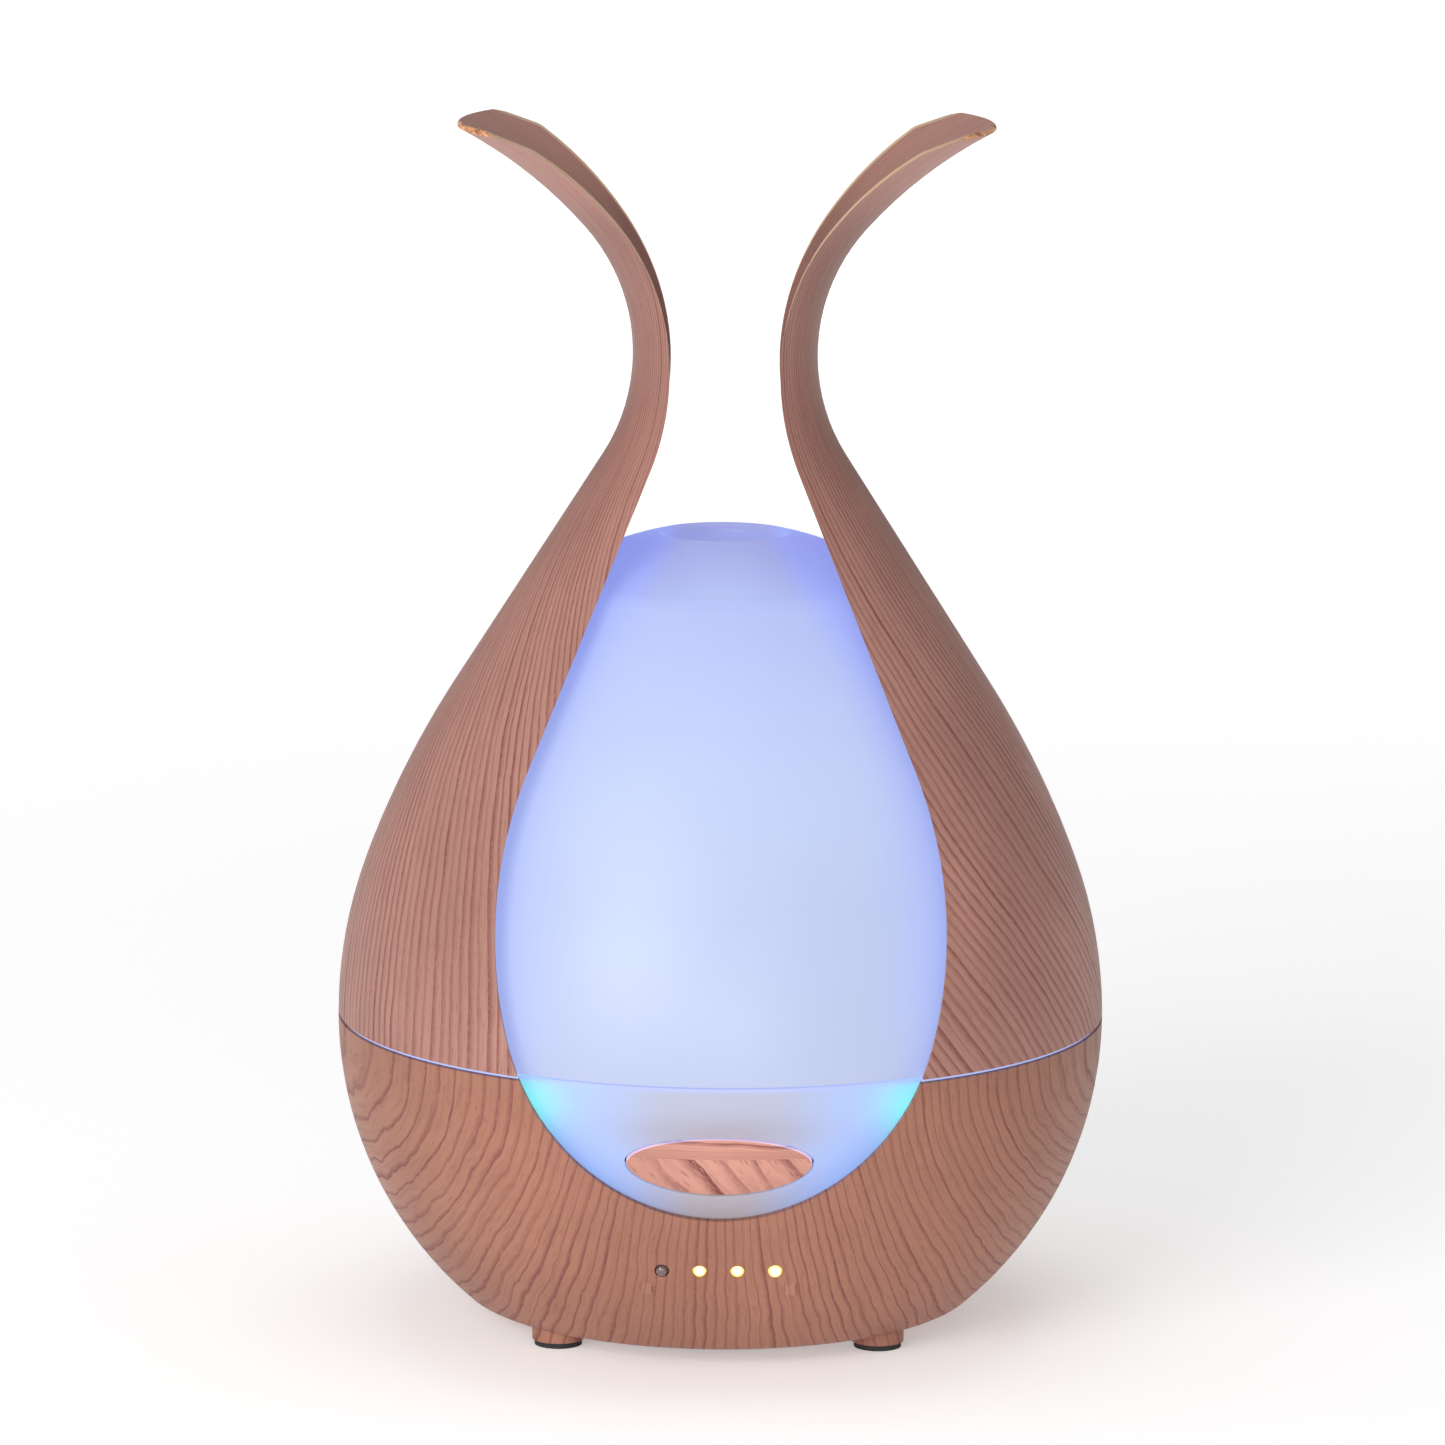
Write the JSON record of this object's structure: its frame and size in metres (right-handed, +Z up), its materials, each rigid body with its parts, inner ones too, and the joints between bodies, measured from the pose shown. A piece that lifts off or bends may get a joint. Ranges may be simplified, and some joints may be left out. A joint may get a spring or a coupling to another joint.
{
  "type": "cool mist humidifier",
  "caption": "Vase-shaped table humidifier: wood-grain bowl and two flared petals round a lit white body with a domed top, mist mouth and oval rocking button.",
  "frame": {"origin": "middle of the footprint on the table", "axes": "+Z up, the button and indicator lights face -Y, +X to the right of someone who faces the button"},
  "size_m": [0.16, 0.151, 0.2502],
  "materials": {
    "wood_grain": "satin printed wood grain",
    "lit_white": "satin translucent, lit from inside",
    "white_plastic": "satin",
    "bottom_plastic": "fine moulded texture",
    "black_plastic": "fine moulded texture",
    "capacitor_sleeve": "gloss",
    "copper_wire": "enamelled",
    "black_rubber": "matt",
    "silicone": "matt",
    "disc_metal": "satin",
    "aluminium_plate": "satin",
    "circuit_board": "solder mask",
    "lead_sleeve": "satin",
    "led_yellow": "clear",
    "indicator_lit": "clear, lit",
    "indicator_dark": "clear, unlit",
    "steel": "bright"
  },
  "bodies": {
    "base": {"air_duct": "black_plastic", "air_tube": "white_plastic", "base_screws": "steel", "base_shell": "wood_grain", "board_screws": "steel", "bottom_cover": "bottom_plastic", "bottom_screws": "steel", "button_board": "circuit_board", "button_bracket": "white_plastic", "capacitors": "capacitor_sleeve", "dc_jack": "black_plastic", "dc_jack_pin": "steel", "diffuser_seal": "silicone", "driver_board": "circuit_board", "duct_seal": "silicone", "fan_housing": "black_plastic", "fan_lead": "lead_sleeve", "fan_motor": "black_plastic", "fan_screws": "steel", "heat_sink": "aluminium_plate", "indicator_board": "circuit_board", "indicator_led_1": "indicator_dark", "indicator_led_2": "indicator_lit", "indicator_led_3": "indicator_lit", "indicator_led_4": "indicator_lit", "inductor_coil": "copper_wire", "light_board_1": "circuit_board", "light_board_2": "circuit_board", "light_board_3": "circuit_board", "light_board_4": "circuit_board", "light_led_1": "led_yellow", "light_led_2": "led_yellow", "light_led_3": "led_yellow", "light_led_4": "led_yellow", "lower_diffuser": "lit_white", "power_board": "circuit_board", "power_lead": "lead_sleeve", "power_transistor": "black_plastic", "rubber_feet": "black_rubber", "switch_left": "black_plastic", "switch_right": "black_plastic", "tank_collar": "white_plastic", "transducer_clamp": "aluminium_plate", "transducer_disc": "disc_metal", "transducer_lead": "lead_sleeve", "transducer_screws": "steel", "transducer_seal": "silicone", "water_tank": "white_plastic"},
    "splash_cover": {"splash_cover": "white_plastic"},
    "top_cover": {"diffuser_cover": "lit_white", "left_petal": "wood_grain", "right_petal": "wood_grain", "petal_screws": "steel"},
    "button": {"control_button": "wood_grain", "button_pin": "steel"},
    "impeller": {"fan_impeller": "black_plastic", "fan_shaft": "steel"}
  },
  "joints": [
    {"name": "splash_lift", "type": "slide", "parent": "base", "child": "splash_cover", "axis": [0, 0, 1], "range_m": [0, 0.04]},
    {"name": "cover_lift", "type": "slide", "parent": "splash_cover", "child": "top_cover", "axis": [0, 0, 1], "range_m": [0, 0.08]},
    {"name": "button_rock", "type": "hinge", "parent": "base", "child": "button", "pos_m": [0, -0.06954, 0.04794], "axis": [0, -0.2233, 0.9748], "range_deg": [-2.5, 2.5], "stiffness_Nm_per_rad": 0.05},
    {"name": "fan_spin", "type": "hinge", "parent": "base", "child": "impeller", "pos_m": [0, 0.018, 0.011], "axis": [0, 0, 1], "continuous": true}
  ]
}
